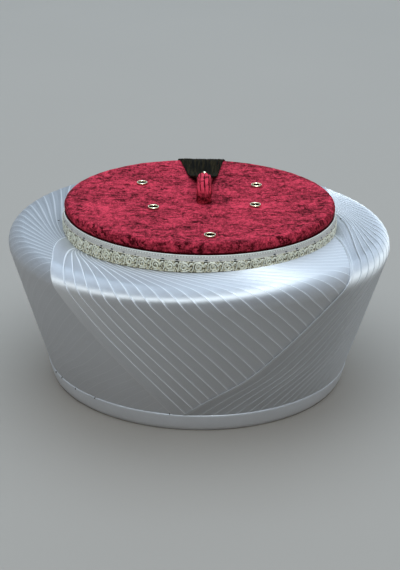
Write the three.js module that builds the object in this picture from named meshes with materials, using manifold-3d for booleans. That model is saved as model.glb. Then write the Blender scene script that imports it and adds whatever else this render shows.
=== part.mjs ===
// A ready-wound turban: a velvet cap with a trim band, wrapped in four pleated satin panels.
// Millimetres, +Z up, the front towards -Y, the hem resting on z = 0 and the cap on the Z axis.
import * as THREE from "three";
import { mergeVertices } from "three/addons/utils/BufferGeometryUtils.js";
import Module from "manifold-3d";

const wasm = await Module();
wasm.setup();

// Clearances
const GAP = 0.3; // between pieces that touch
const WINDING_GAP = 0.8; // between the cap and the flat facets wound round it
const EDGE_GAP_DEG = 0.55; // between neighbouring panels on the wall, turned round the axis
const CROWN_GAP_DEG = 1.3; // added to that at the crown, where the facets twist most

// Cap
const CROWN_RADIUS = 93;
const CROWN_TOP = 127.2;
const CROWN_DISH = 2; // how far the middle of the top sinks
const CROWN_WALL = 2;
const RIM_ROLL = 4; // radius of the rolled rim
const RIM_PROUD = 0.9; // how far the rim stands out over the trim below it
const RIM_TUCK_DEG = -40; // where the rim's roll turns back into the wall
const ROUND_SIDES = 48;

// Trim band round the foot of the crown
const BAND_TOP = 119.8;
const BAND_FOOT = 108.8;
const BAND_STEP = 116; // where the plain ribbon meets the raised lace below it
const RIBBON_THICK = 1.3;
const LACE_THICK = 2.1;
const BAND_BEVEL = 0.5;

// Wrap outline: a level ledge, a round shoulder and a wall that narrows to the hem
const LEDGE_INNER = 95.4;
const LEDGE_RISE = 0.9;
const SHOULDER_RADIUS = 9.7;
const SHOULDER_CENTRE = 122.9; // distance of the shoulder's arc centre from the axis
const SHOULDER_HEIGHT = 99.4;
const SHOULDER_TURN_DEG = 106.9; // from the level ledge round to the wall
const HEM_TOP = 12.6;
const HEM_PROUD = 0.6; // how far the hem stands out from the wall
const HEM_ROUND = 1.2;

// Pleats
const PLEAT_PITCH_DEG = 4.15;
const PLEAT_RISER_DEG = 0.35; // width of the step at each fold
const PLEAT_HEIGHT = 1;
const BORDER_DEG = 6.2; // the smooth strip along a panel's left edge
const EDGE_LIFT = 1.8; // how far that edge stands over the neighbour
const SIDE_SPREAD_DEG = 9; // extra spread of a side panel's first pleats at the crown
const INNER_STEP_DEG = 10; // between the plain columns that lie against the cap
const TUCK = 5; // how far a panel's inner edge hides below the trim band
const FRONT_PLEATS = 35;
const SIDE_PLEATS = 42;
const CUT_SPAN_DEG = 160; // how far round a cut reaches past a neighbour's edge
const CUT_EXTEND = 0.3; // how far a cut runs past both faces, as a share of the winding's depth
const CUT_OVERRUN = 4; // how far it runs past the top and the foot

// Stalk, bead and tassel, all a little right of the middle
const STALK_X = 3;
const STALK_RADIUS = 5.2;
const BEAD_RADIUS = 1.3;
const TASSEL_LOCKS = 7;
const LOCK_VALLEY = 0.55; // thickness between two locks, as a share of a lock's own
const LOCK_RAG = 3; // how unevenly the locks end
const TASSEL_ROUND = 6; // how far the outer locks end short of the middle ones

// Eyelets
const EYELET_RADIUS = 4.2;
const EYELET_HOLE = 2.5;
const EYELET_WALL = 0.5;
const EYELET_DOME = 1;
const EYELET_TAIL = 1.4; // how far the barrel shows under the crown
const EYELET_SIDES = 12;

const EYELETS = [
  { name: "eyelet_front", x: 6.8, y: -76.5 },
  { name: "eyelet_left", x: -31.6, y: -18.4 },
  { name: "eyelet_right", x: 38.2, y: -10.6 },
  { name: "eyelet_back_left", x: -41.7, y: 34.2 },
  { name: "eyelet_back_right", x: 40.4, y: 32.9 },
];

// Each panel's left edge, as the angle round the axis at a distance along the outline from the crown.
// pleat: how much of the pleats' height shows there.
const EDGES = [
  { along: 0, front: -161.7, side: -15, pleat: 0.1 },
  { along: 5, front: -158.7, side: -19.5, pleat: 0.5 },
  { along: 15, front: -150.6, side: -28.4, pleat: 1 },
  { along: 27.5, front: -140.6, side: -37.3, pleat: 1 },
  { along: 33.5, front: -137.4, side: -40.9, pleat: 1 },
  { along: 39.5, front: -135.2, side: -43.5, pleat: 1 },
  { along: 45.6, front: -133.4, side: -46.5, pleat: 1 },
  { along: 66, front: -126.4, side: -56.1, pleat: 1 },
  { along: 85, front: -118.7, side: -64.8, pleat: 0.9 },
  { along: 104, front: -110.9, side: -74.6, pleat: 0.8 },
  { along: 119, front: -104.7, side: -85.8, pleat: 0.65 },
  { along: 133, front: -98.9, side: -94.7, pleat: 0.4 },
];

// The tassel from its tied head to its free ends: back and up are the middle of each section.
const TASSEL = [
  { back: 15.2, up: 135.4, wide: 8, thick: 4.6, round: 1 },
  { back: 19, up: 135.6, wide: 11.5, thick: 5.4, round: 1 },
  { back: 25, up: 135, wide: 11, thick: 4.2, round: 0.9 },
  { back: 36, up: 131.4, wide: 14, thick: 3.2, round: 0.6 },
  { back: 50, up: 127.5, wide: 20, thick: 2.2, round: 0.2 },
  { back: 72, up: 127.8, wide: 27, thick: 1.6, round: 0 },
  { back: 89, up: 128.45, wide: 33, thick: 1.4, round: 0 },
  { back: 93.6, up: 127.6, wide: 35, thick: 1.4, round: 0 },
  { back: 96.6, up: 123, wide: 36.5, thick: 1.6, round: 0 },
  { back: 98.9, up: 116.6, wide: 38, thick: 1.8, round: 0 },
  { back: 104, up: 112, wide: 40, thick: 1.9, round: 0 },
  { back: 119, up: 111.5, wide: 43, thick: 1.9, round: 0 },
];

// The stalk's middle line, with up measured from the crown.
const STALK = [
  { back: -3.8, up: 0 },
  { back: -3.7, up: 4.2 },
  { back: 0, up: 8.2 },
  { back: 6.5, up: 9.7 },
  { back: TASSEL[0].back - GAP, up: 9.9 },
];

const LOOKS = {
  velvet: { color: 0x9c3145, roughness: 0.9, metalness: 0 },
  satin: { color: 0xdfe6ee, roughness: 0.35, metalness: 0 },
  trim: { color: 0xb9b59a, roughness: 0.45, metalness: 0.5 },
  thread: { color: 0x221d12, roughness: 0.8, metalness: 0 },
  metal: { color: 0xd8cfae, roughness: 0.25, metalness: 1 },
};

const part = new THREE.Group();
const rad = THREE.MathUtils.degToRad;
const mix = THREE.MathUtils.lerp;
const point2 = (r, z) => new THREE.Vector2(r, z);

function place(name, geometry, look) {
  const mesh = new THREE.Mesh(geometry, new THREE.MeshStandardMaterial(LOOKS[look]));
  mesh.name = name;
  part.add(mesh);
  return mesh;
}

// Points of a round corner, from one angle to another in degrees.
function corner(r, z, radius, from, to, steps) {
  const points = [];
  for (let i = 0; i <= steps; i++) {
    const turn = rad(mix(from, to, i / steps));
    points.push(point2(r + radius * Math.cos(turn), z + radius * Math.sin(turn)));
  }
  return points;
}

// A closed profile of radius and height turned round the Z axis.
function turned(profile, sides) {
  return new THREE.LatheGeometry(profile, sides).rotateX(Math.PI / 2);
}

function solidOf(geometry) {
  const bare = geometry.clone().deleteAttribute("normal").deleteAttribute("uv");
  const merged = mergeVertices(bare, 1e-4);
  const vertProperties = new Float32Array(merged.attributes.position.array);
  const triVerts = new Uint32Array(merged.index.array);
  return new wasm.Manifold(new wasm.Mesh({ numProp: 3, vertProperties, triVerts }));
}

function geometryOf(solid) {
  const { vertProperties, triVerts } = solid.getMesh();
  const geometry = new THREE.BufferGeometry();
  geometry.setAttribute("position", new THREE.BufferAttribute(vertProperties, 3));
  geometry.setIndex(new THREE.BufferAttribute(triVerts, 1));
  return geometry;
}

// Height of the crown's top at a distance from the axis.
const flatRadius = CROWN_RADIUS + RIM_PROUD - RIM_ROLL;
function crownHeight(r) {
  return CROWN_TOP - CROWN_DISH * (1 - (r / flatRadius) ** 2);
}

function makeCap() {
  const inner = CROWN_RADIUS - CROWN_WALL;
  const roll = RIM_ROLL - CROWN_WALL;
  const rollHeight = CROWN_TOP - RIM_ROLL;
  const topRadii = [0, 0.35, 0.65, 0.88].map((share) => share * flatRadius);
  const capOutline = [
    ...topRadii.map((r) => point2(r, crownHeight(r) - CROWN_WALL)),
    ...corner(inner - roll, rollHeight, roll, 90, 0, 2),
    point2(inner, 0),
    point2(CROWN_RADIUS, 0),
    ...corner(flatRadius, rollHeight, RIM_ROLL, RIM_TUCK_DEG, 90, 5),
    ...[...topRadii].reverse().map((r) => point2(r, crownHeight(r))),
  ];
  let cap = solidOf(turned(capOutline, ROUND_SIDES));
  const holeRadius = EYELET_HOLE + EYELET_WALL + GAP;
  for (const { x, y } of EYELETS) {
    const drill = new THREE.CylinderGeometry(holeRadius, holeRadius, 6 * CROWN_WALL, EYELET_SIDES);
    drill.rotateX(Math.PI / 2).translate(x, y, crownHeight(Math.hypot(x, y)));
    cap = cap.subtract(solidOf(drill));
  }
  place("cap_crown", geometryOf(cap), "velvet");
}

function makeBand() {
  const inner = CROWN_RADIUS + GAP;
  const bandOutline = [
    point2(inner, BAND_FOOT),
    point2(inner + LACE_THICK, BAND_FOOT),
    point2(inner + LACE_THICK, BAND_STEP - BAND_BEVEL),
    point2(inner + RIBBON_THICK, BAND_STEP),
    point2(inner + RIBBON_THICK, BAND_TOP - BAND_BEVEL),
    point2(inner + RIBBON_THICK - BAND_BEVEL, BAND_TOP),
    point2(inner, BAND_TOP),
    point2(inner, BAND_FOOT),
  ];
  place("crown_band", turned(bandOutline, ROUND_SIDES), "trim");
}

// A flanged ring with a barrel that passes down through the crown.
function makeEyelets() {
  const barrel = EYELET_HOLE + EYELET_WALL;
  const tail = -CROWN_WALL - EYELET_TAIL;
  const mouth = (EYELET_HOLE + EYELET_RADIUS) / 2;
  const eyeletOutline = [
    point2(EYELET_HOLE, tail),
    point2(barrel, tail),
    point2(barrel, GAP),
    point2(EYELET_RADIUS, GAP),
    point2(EYELET_RADIUS - EYELET_WALL / 2, GAP + 0.6 * EYELET_DOME),
    point2(mouth, GAP + EYELET_DOME),
    point2(EYELET_HOLE + EYELET_WALL / 2, GAP + 0.7 * EYELET_DOME),
    point2(EYELET_HOLE, GAP),
    point2(EYELET_HOLE, tail),
  ];
  for (const { name, x, y } of EYELETS) {
    const eyelet = place(name, turned(eyeletOutline, EYELET_SIDES), "metal");
    // The dished crown rises a little across the flange, so the ring is set on the high side.
    const highSide = crownHeight(Math.hypot(x, y) + EYELET_RADIUS);
    eyelet.position.set(x, y, highSide);
  }
}

// A velvet tube that stands up from the crown and bends back.
function makeStalk() {
  const foot = crownHeight(2 * STALK_RADIUS) + GAP;
  const path = new THREE.CatmullRomCurve3(
    STALK.map(({ back, up }) => new THREE.Vector3(STALK_X, back, foot + up)),
  );
  const ring = new THREE.Shape().absarc(0, 0, STALK_RADIUS, 0, 2 * Math.PI);
  const sweep = { steps: 10, curveSegments: 5, bevelEnabled: false, extrudePath: path };
  place("crown_stem", new THREE.ExtrudeGeometry(ring, sweep), "velvet");
}

function makeBead() {
  const head = TASSEL[1];
  const bead = place("tassel_bead", new THREE.SphereGeometry(BEAD_RADIUS, 10, 6), "metal");
  bead.position.set(STALK_X, head.back, head.up + head.thick / 2 + BEAD_RADIUS + GAP);
}

// Builds a closed skin from rings of points, each ring one section of the piece, with flat fans on both ends.
function skin(rings) {
  const count = rings[0].length;
  const positions = rings.flat().flatMap((p) => [p.x, p.y, p.z]);
  const triangles = [];
  for (let i = 0; i + 1 < rings.length; i++) {
    for (let j = 0; j < count; j++) {
      const here = i * count + j;
      const next = i * count + ((j + 1) % count);
      triangles.push(here, next, next + count, here, next + count, here + count);
    }
  }
  const last = (rings.length - 1) * count;
  for (let j = 0; j + 1 < count / 2; j++) {
    const back = count - 1 - j;
    triangles.push(j, back, j + 1, j + 1, back, back - 1);
    triangles.push(last + j, last + j + 1, last + back, last + j + 1, last + back - 1, last + back);
  }
  const geometry = new THREE.BufferGeometry();
  geometry.setAttribute("position", new THREE.Float32BufferAttribute(positions, 3));
  geometry.setIndex(triangles);
  return geometry;
}

// Locks lie side by side across each section: thick in the middle of a lock, thin between two.
function makeTassel() {
  const columns = 2 * TASSEL_LOCKS;
  const rings = TASSEL.map((row, i) => {
    const before = TASSEL[Math.max(i - 1, 0)];
    const after = TASSEL[Math.min(i + 1, TASSEL.length - 1)];
    const along = point2(after.back - before.back, after.up - before.up).normalize();
    const free = i === TASSEL.length - 1 ? 1 : 0;
    const side = (sign) =>
      Array.from({ length: columns + 1 }, (_, j) => {
        const across = (2 * j) / columns - 1;
        const lock = j % 2 === 0 ? LOCK_VALLEY : 1;
        const oval = mix(1, Math.sqrt(1 - 0.9 * across * across), row.round);
        const lift = (sign * row.thick * lock * oval) / 2;
        const reach = free * (LOCK_RAG * Math.cos(1.3 * j) - TASSEL_ROUND * across * across);
        return new THREE.Vector3(
          mix(STALK_X, 0, i / (TASSEL.length - 1)) + (across * row.wide) / 2,
          row.back - along.y * lift + along.x * reach,
          row.up + along.x * lift + along.y * reach,
        );
      });
    return [...side(1), ...side(-1).reverse()];
  });
  place("tassel", skin(rings), "thread");
}

// Radius, height and outward direction of the wrap's outline at a distance along it.
const arcLength = SHOULDER_RADIUS * rad(SHOULDER_TURN_DEG);
const ledgeLength = SHOULDER_CENTRE - LEDGE_INNER;
const shoulderTop = SHOULDER_HEIGHT + SHOULDER_RADIUS;
function outline(along) {
  if (along <= ledgeLength) {
    const share = along / ledgeLength;
    return { r: LEDGE_INNER + along, z: shoulderTop - LEDGE_RISE * (1 - share), nr: 0, nz: 1 };
  }
  const turn = rad(90 - Math.min((along - ledgeLength) / arcLength, 1) * SHOULDER_TURN_DEG);
  const [nr, nz] = [Math.cos(turn), Math.sin(turn)];
  const wall = Math.max(along - ledgeLength - arcLength, 0);
  return {
    r: SHOULDER_CENTRE + SHOULDER_RADIUS * nr + wall * nz,
    z: SHOULDER_HEIGHT + SHOULDER_RADIUS * nz - wall * nr,
    nr,
    nz,
  };
}

const wrapInner = CROWN_RADIUS + WINDING_GAP;
const wrapLength = EDGES.at(-1).along;
const wrapTop = shoulderTop - LEDGE_RISE - TUCK;
const wrapFoot = HEM_TOP + GAP;
const shoulderAlong = ledgeLength + arcLength / 2;

function polar(r, angle, z) {
  return new THREE.Vector3(r * Math.cos(rad(angle)), r * Math.sin(rad(angle)), z);
}

// A panel's columns, as degrees from its left edge with the height of the cloth there.
// folds "right": each strip rises to a fold on its right. folds "left": each falls from a fold on its left.
function pleatColumns(count, folds) {
  const columns = [{ turn: 0, lift: EDGE_LIFT }];
  for (let k = 0; k < count; k++) {
    const turn = BORDER_DEG + k * PLEAT_PITCH_DEG;
    const low = { turn, lift: 0 };
    if (folds === "right") {
      columns.push({ turn: turn - PLEAT_RISER_DEG, lift: PLEAT_HEIGHT }, low);
    } else {
      columns.push(low, { turn: turn + PLEAT_RISER_DEG, lift: PLEAT_HEIGHT });
    }
  }
  return columns;
}

// 1 at the crown, fading to 0 halfway round the shoulder.
function nearCrown(along) {
  return Math.max(1 - along / shoulderAlong, 0);
}

// Extra turn of a pleat near the crown, which spreads a panel's first pleats.
function spreadAt(turn, along, spread) {
  const share = Math.min(turn / (BORDER_DEG + 3 * PLEAT_PITCH_DEG), 1);
  return spread * share * nearCrown(along);
}

// Joins two rows of points that run side by side but hold different numbers of points.
function zip(near, far, triangles) {
  let [i, j] = [0, 0];
  while (i + 1 < near.length || j + 1 < far.length) {
    const nearNext = i + 1 < near.length ? near[i + 1].turn : Infinity;
    const farNext = j + 1 < far.length ? far[j + 1].turn : Infinity;
    if (nearNext <= farNext) {
      triangles.push(near[i].id, near[i + 1].id, far[j].id);
      i++;
    } else {
      triangles.push(near[i].id, far[j + 1].id, far[j].id);
      j++;
    }
  }
}

// A wound block of cloth from the cap's wall out to the pleated face.
// Each row of the edge table is a line through the winding: its inner end lies on the cap, its outer end
// on the pleated face, and both ends are drawn out by extend, a share of the line's length.
function wrapBlock({ rows, edge, columns, spread, extend }) {
  const positions = [];
  const triangles = [];
  const first = columns[0].turn;
  const width = columns.at(-1).turn - first;
  const innerCount = Math.ceil(width / INNER_STEP_DEG);
  const innerTurns = Array.from({ length: innerCount + 1 }, (_, k) => first + (k * width) / innerCount);

  const addPoint = (end, row, turn) => {
    const angle = row[edge] + turn + spreadAt(turn, row.along, spread);
    const { x, y, z } = polar(end.x, angle, end.y);
    positions.push(x, y, z);
    return { id: positions.length / 3 - 1, turn };
  };
  const line = (row, lift) => {
    const { r, z, nr, nz } = outline(row.along);
    const outer = point2(r + nr * lift * row.pleat, z + nz * lift * row.pleat);
    const inner = point2(wrapInner, mix(wrapTop, wrapFoot, row.along / wrapLength));
    const draw = outer.clone().sub(inner).multiplyScalar(extend);
    const shift = row.shift ?? point2(0, 0);
    return { outer: outer.add(draw).add(shift), inner: inner.sub(draw).add(shift) };
  };
  const outerPoint = (row, { turn, lift }) => addPoint(line(row, lift).outer, row, turn);
  const innerPoint = (row, turn) => addPoint(line(row, EDGE_LIFT).inner, row, turn);
  const outer = rows.map((row) => columns.map((column) => outerPoint(row, column)));
  const inner = rows.map((row) => innerTurns.map((turn) => innerPoint(row, turn)));

  const pointOf = ({ id }) => new THREE.Vector3().fromArray(positions, 3 * id);
  const quad = (a, b, c, d) => triangles.push(a.id, b.id, c.id, a.id, c.id, d.id);
  // Splits along the shorter diagonal, so that slanting facets keep close to the round form.
  const face = (a, b, c, d) => {
    const shorter = pointOf(a).distanceTo(pointOf(c)) <= pointOf(b).distanceTo(pointOf(d));
    quad(...(shorter ? [a, b, c, d] : [b, c, d, a]));
  };
  for (let i = 0; i + 1 < rows.length; i++) {
    const [outerHere, outerNext, innerHere, innerNext] = [outer[i], outer[i + 1], inner[i], inner[i + 1]];
    for (let j = 0; j + 1 < columns.length; j++) {
      face(outerHere[j], outerNext[j], outerNext[j + 1], outerHere[j + 1]);
    }
    for (let j = 0; j < innerCount; j++) {
      face(innerHere[j], innerHere[j + 1], innerNext[j + 1], innerNext[j]);
    }
    const leftWall = [innerHere[0], innerNext[0], outerNext[0], outerHere[0]];
    // The wall under the edge twists: it is split so that a cut along it never reaches into the panel above.
    quad(...(edge === "side" ? leftWall : [...leftWall.slice(1), leftWall[0]]));
    quad(outerHere.at(-1), outerNext.at(-1), innerNext.at(-1), innerHere.at(-1));
  }
  zip(outer[0], inner[0], triangles);
  zip(inner.at(-1), outer.at(-1), triangles);

  const geometry = new THREE.BufferGeometry();
  geometry.setAttribute("position", new THREE.Float32BufferAttribute(positions, 3));
  geometry.setIndex(triangles);
  return geometry;
}

// The space that a panel takes to the right of its left edge, for cutting back the panel that it lies over.
function edgeCutter(edge, turnedBy) {
  const columns = [];
  for (let turn = 0; turn <= CUT_SPAN_DEG; turn += INNER_STEP_DEG) {
    columns.push({ turn, lift: EDGE_LIFT });
  }
  const clear = EDGES.map((row) => {
    const gap = EDGE_GAP_DEG + CROWN_GAP_DEG * nearCrown(row.along);
    return { ...row, [edge]: row[edge] - gap };
  });
  const rows = [
    { ...clear[0], shift: point2(-CUT_OVERRUN, 0) },
    ...clear,
    { ...clear.at(-1), shift: point2(0, -CUT_OVERRUN) },
  ];
  const block = wrapBlock({ rows, edge, columns, spread: 0, extend: CUT_EXTEND });
  return solidOf(block.rotateZ(rad(turnedBy)));
}

// The front and right panels, and the same two turned half round for the back and left.
function makeWrap() {
  const frontColumns = pleatColumns(FRONT_PLEATS, "right");
  const sideColumns = pleatColumns(SIDE_PLEATS, "left");
  const whole = { rows: EDGES, extend: 0 };
  const front = wrapBlock({ ...whole, edge: "front", columns: frontColumns, spread: 0 });
  const side = wrapBlock({ ...whole, edge: "side", columns: sideColumns, spread: SIDE_SPREAD_DEG });
  const frontPanel = geometryOf(solidOf(front).subtract(edgeCutter("side", 0)));
  const sidePanel = geometryOf(solidOf(side).subtract(edgeCutter("front", 180)));
  place("wrap_front", frontPanel, "satin");
  place("wrap_right", sidePanel, "satin");
  place("wrap_back", frontPanel, "satin").rotation.z = Math.PI;
  place("wrap_left", sidePanel, "satin").rotation.z = Math.PI;
}

// Radius of the wall at a height below the shoulder.
function wallRadius(height) {
  const { r, z, nr, nz } = outline(ledgeLength + arcLength);
  return r + ((z - height) / nr) * nz;
}

// The binding under the wrap's lower edge, with a flat foot that the turban rests on.
function makeHem() {
  const outer = (height) => wallRadius(height) + HEM_PROUD;
  const hemOutline = [
    point2(wrapInner, 0),
    point2(outer(0) - HEM_ROUND, 0),
    point2(outer(0), HEM_ROUND),
    point2(outer(HEM_TOP), HEM_TOP - HEM_ROUND),
    point2(outer(HEM_TOP) - HEM_ROUND, HEM_TOP),
    point2(wrapInner, HEM_TOP),
    point2(wrapInner, 0),
  ];
  place("hem_band", turned(hemOutline, ROUND_SIDES), "satin");
}

makeCap();
makeBand();
makeEyelets();
makeStalk();
makeBead();
makeTassel();
makeWrap();
makeHem();

export default part;
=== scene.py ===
# %% [markdown]
# # A ready-wound turban
# A stiff velvet cap carries a metallic trim, a stalk with a thread tassel and five eyelets. White satin is wound
# round it in four pleated panels above a bound hem. The solids that give the size are loaded first, and every
# piece below is fitted to them. Lengths are written in millimetres and multiplied by MM.

import math
import random

import bpy
import numpy as np
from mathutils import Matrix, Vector, noise


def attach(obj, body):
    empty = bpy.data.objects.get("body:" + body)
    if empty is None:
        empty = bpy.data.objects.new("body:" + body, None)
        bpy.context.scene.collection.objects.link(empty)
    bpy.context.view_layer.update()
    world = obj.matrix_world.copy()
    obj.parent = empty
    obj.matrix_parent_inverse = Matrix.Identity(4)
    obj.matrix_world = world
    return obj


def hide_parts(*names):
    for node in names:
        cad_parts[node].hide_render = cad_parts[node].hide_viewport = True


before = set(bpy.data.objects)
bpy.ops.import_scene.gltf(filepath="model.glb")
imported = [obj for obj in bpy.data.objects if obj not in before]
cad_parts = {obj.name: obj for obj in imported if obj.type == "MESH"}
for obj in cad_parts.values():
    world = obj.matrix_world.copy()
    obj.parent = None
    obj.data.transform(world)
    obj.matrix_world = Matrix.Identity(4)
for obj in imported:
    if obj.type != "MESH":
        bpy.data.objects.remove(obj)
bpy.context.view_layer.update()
MM = 0.001

# %% [markdown]
# ## Camera
# The photograph looks down at the turban by about 21 degrees from just under a metre. Fitting the round crown and
# the round shoulder to the picture gave the focal length in pixels, and the small shift and roll below keep the
# object where the picture has it.

# %% Camera
FOCAL_PX = 1386
IMAGE_LONG_PX = 570
SENSOR_MM = 36
LOOK_DOWN_DEG, ROLL_DEG = 21.47, 0.9
STAND_OFF = 984 * MM
AIM = Vector((0, 0, 70 * MM))
SHIFT_PX = (1.3, -10.8)

down = math.radians(LOOK_DOWN_DEG)
eye = AIM + STAND_OFF * Vector((0, -math.cos(down), math.sin(down)))
bpy.ops.object.camera_add(location=eye)
camera = bpy.context.object
facing = (AIM - eye).to_track_quat("-Z", "Y").to_matrix()
roll = facing.to_euler().to_matrix().Rotation(math.radians(ROLL_DEG), 3, "Z")
camera.rotation_euler = (facing @ roll).to_euler()
camera.data.sensor_width = SENSOR_MM
camera.data.lens = FOCAL_PX * SENSOR_MM / IMAGE_LONG_PX
camera.data.shift_x, camera.data.shift_y = (pixels / IMAGE_LONG_PX for pixels in SHIFT_PX)
bpy.context.scene.camera = camera
print(f"camera at {[round(v, 3) for v in eye]} m, lens {camera.data.lens:.1f} mm")

# %% [markdown]
# ## Writing materials as sums
# A procedural finish is a small net of nodes. Wrapping a socket in a class lets the net be written as a formula:
# every sum or product of two values adds one Math node, and all other nodes come from one method.


# %% Values and finishes
class Value:
    """The value of one socket; arithmetic on it adds Math nodes."""

    def __init__(self, finish, socket):
        self.finish, self.socket = finish, socket

    def math(self, operation, *inputs):
        return self.finish.node("ShaderNodeMath", {"operation": operation}, dict(enumerate(inputs)))

    def __add__(self, other):
        return self.math("ADD", self, other)

    def __mul__(self, other):
        return self.math("MULTIPLY", self, other)

    def __sub__(self, other):
        return self.math("SUBTRACT", self, other)

    def __rsub__(self, other):
        return self.math("SUBTRACT", other, self)

    def __truediv__(self, other):
        return self.math("DIVIDE", self, other)

    __radd__, __rmul__ = __add__, __mul__

    def sine(self):
        return self.math("SINE", self)

    def fraction(self):
        return self.math("FRACT", self)

    def between(self, low, high):
        """0 at low, 1 at high, with a soft start and end."""
        settings = {"interpolation_type": "SMOOTHSTEP"}
        return self.finish.node("ShaderNodeMapRange", settings, {0: self, 1: low, 2: high, 3: 0.0, 4: 1.0})


class Finish:
    """One material and the nodes that make it."""

    def __init__(self, name):
        self.material = bpy.data.materials.new(name)
        self.material.use_nodes = True
        self.tree = self.material.node_tree
        self.tree.nodes.clear()

    def node(self, kind, settings=(), sockets=(), output=0):
        node = self.tree.nodes.new(kind)
        for name, value in dict(settings).items():
            setattr(node, name, value)
        for name, value in dict(sockets).items():
            if isinstance(value, Value):
                self.tree.links.new(value.socket, node.inputs[name])
            else:
                node.inputs[name].default_value = value
        return Value(self, node.outputs[output]) if node.outputs else None

    def place(self, uv=None):
        """Where a point lies: on the object, or on the cloth when uv names its map."""
        if uv:
            return self.node("ShaderNodeUVMap", {"uv_map": uv})
        return self.node("ShaderNodeTexCoord", output="Object")

    def trait(self, name):
        """The value of one of the mesh's attributes."""
        return self.node("ShaderNodeAttribute", {"attribute_name": name}, output="Fac")

    def parts(self, vector):
        """The X, Y and Z values of a vector."""
        return [self.node("ShaderNodeSeparateXYZ", (), {0: vector}, axis) for axis in range(3)]

    def cloud(self, vector, scale, detail=2.0, roughness=0.5, turn=(0, 0, 0)):
        """Soft noise between 0 and 1; three scales stretch it along the axes, and turn rotates it."""
        if isinstance(scale, tuple):
            mapping = {"Vector": vector, "Scale": scale, "Rotation": turn}
            vector, scale = self.node("ShaderNodeMapping", (), mapping), 1.0
        sockets = {"Vector": vector, "Scale": scale, "Detail": detail, "Roughness": roughness}
        return self.node("ShaderNodeTexNoise", (), sockets)

    def blend(self, share, colour, other):
        sockets = {0: share, 6: colour, 7: other}
        return self.node("ShaderNodeMix", {"data_type": "RGBA"}, sockets, 2)

    def bump(self, height, depth_mm):
        return self.node("ShaderNodeBump", (), {"Height": height, "Distance": depth_mm * MM, "Strength": 1.0})

    def shade(self, **sockets):
        """A Principled surface; socket names have _ for spaces."""
        named = {name.replace("_", " "): value for name, value in sockets.items()}
        shader = self.node("ShaderNodeBsdfPrincipled", (), named)
        self.node("ShaderNodeOutputMaterial", (), {"Surface": shader})
        print(f"finish {self.material.name}: {len(self.tree.nodes)} nodes")
        return self.material


def srgb(red, green, blue):
    """A colour read off a picture, 0 to 255, as the linear colour that a shader takes."""
    linear = [((v / 255 + 0.055) / 1.055) ** 2.4 if v > 10 else v / 255 / 12.92 for v in (red, green, blue)]
    return (*linear, 1.0)


# %% [markdown]
# ## Floor and light
# The picture's light comes from an open sky: level cloth is bright and bluish, while walls that face down a little
# see only the floor. A wide cool panel overhead and one behind give the same. A smaller panel in front is seen by
# gloss alone, so it draws the bright lines on the satin without lighting the walls, and the pale, slightly warm
# floor sends some light back up.

# %% Floor and lights
FLOOR_SIZE = 14
SKY_PLACE, SKY_SIZE, SKY_POWER, SKY_COLOUR = (0, 0, 2.6), 4.2, 112, (0.66, 0.82, 1.0)
BACK_PLACE, BACK_SIZE, BACK_POWER, BACK_COLOUR = (0, 3.0, 1.75), 3.5, 42, (0.55, 0.78, 1.0)
KEY_DIRECTION = Vector((0.083, -0.686, 0.723))
KEY_DISTANCE, KEY_SIZE, KEY_POWER, KEY_COLOUR = 2.4, 0.75, 42, (0.88, 0.97, 1.0)
WORLD_COLOUR, WORLD_STRENGTH = (1.0, 0.94, 0.86, 1), 0.2
PAPER_DARK, PAPER_LIGHT = (0.40, 0.352, 0.30, 1), (0.42, 0.37, 0.315, 1)


def soft_light(name, place, size, power, colour):
    """A square light panel that faces the turban."""
    bpy.ops.object.light_add(type="AREA", location=place)
    light = bpy.context.object
    light.name = name
    light.rotation_euler = (AIM - Vector(place)).to_track_quat("-Z", "Y").to_euler()
    light.data.size, light.data.energy, light.data.color = size, power, colour
    print(f"{name}: {power} W, {size} m wide")
    return light


soft_light("sky_panel", SKY_PLACE, SKY_SIZE, SKY_POWER, SKY_COLOUR)
soft_light("back_panel", BACK_PLACE, BACK_SIZE, BACK_POWER, BACK_COLOUR)
key = soft_light("key_panel", KEY_DIRECTION.normalized() * KEY_DISTANCE, KEY_SIZE, KEY_POWER, KEY_COLOUR)
key.visible_diffuse = False

world = bpy.data.worlds.new("studio")
bpy.context.scene.world = world
world.use_nodes = True
world.node_tree.nodes["Background"].inputs["Color"].default_value = WORLD_COLOUR
world.node_tree.nodes["Background"].inputs["Strength"].default_value = WORLD_STRENGTH
bpy.context.scene.view_settings.view_transform = "Standard"

paper = Finish("floor_paper")
grain = paper.cloud(paper.place(), 3.0)
paper_colour = paper.blend(grain, PAPER_DARK, PAPER_LIGHT)
bpy.ops.object.select_all(action="DESELECT")
bpy.ops.mesh.primitive_plane_add(size=FLOOR_SIZE)
floor = bpy.context.object
floor.name = "floor"
floor.data.materials.append(paper.shade(Base_Color=paper_colour, Roughness=0.9))

# %% [markdown]
# ## Bench tools
# Operators act on whatever is selected, so each piece is worked on alone. Round pieces start as one point that is
# extruded along a profile and spun round the axis, as on a lathe. Soft irregularity comes from moving points in
# code with a fixed noise, so that every run gives the same shape.

# %% Bench tools
WELD_MM = 0.005


def alone(piece=None):
    """Back to object mode, with only this piece selected and active."""
    if bpy.context.mode != "OBJECT":
        bpy.ops.object.mode_set(mode="OBJECT")
    bpy.ops.object.select_all(action="DESELECT")
    bpy.context.view_layer.objects.active = piece
    if piece:
        piece.select_set(True)


def open_edit(piece):
    alone(piece)
    bpy.ops.object.mode_set(mode="EDIT")
    bpy.ops.mesh.select_all(action="SELECT")


def points_of(piece):
    """The piece's points in mm, as rows of x, y, z."""
    flat = np.empty(3 * len(piece.data.vertices), np.float32)
    piece.data.vertices.foreach_get("co", flat)
    return flat.reshape(-1, 3).astype(float) / MM


def set_points(piece, points):
    piece.data.vertices.foreach_set("co", (np.asarray(points) * MM).astype(np.float32).ravel())
    piece.data.update()


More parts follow.
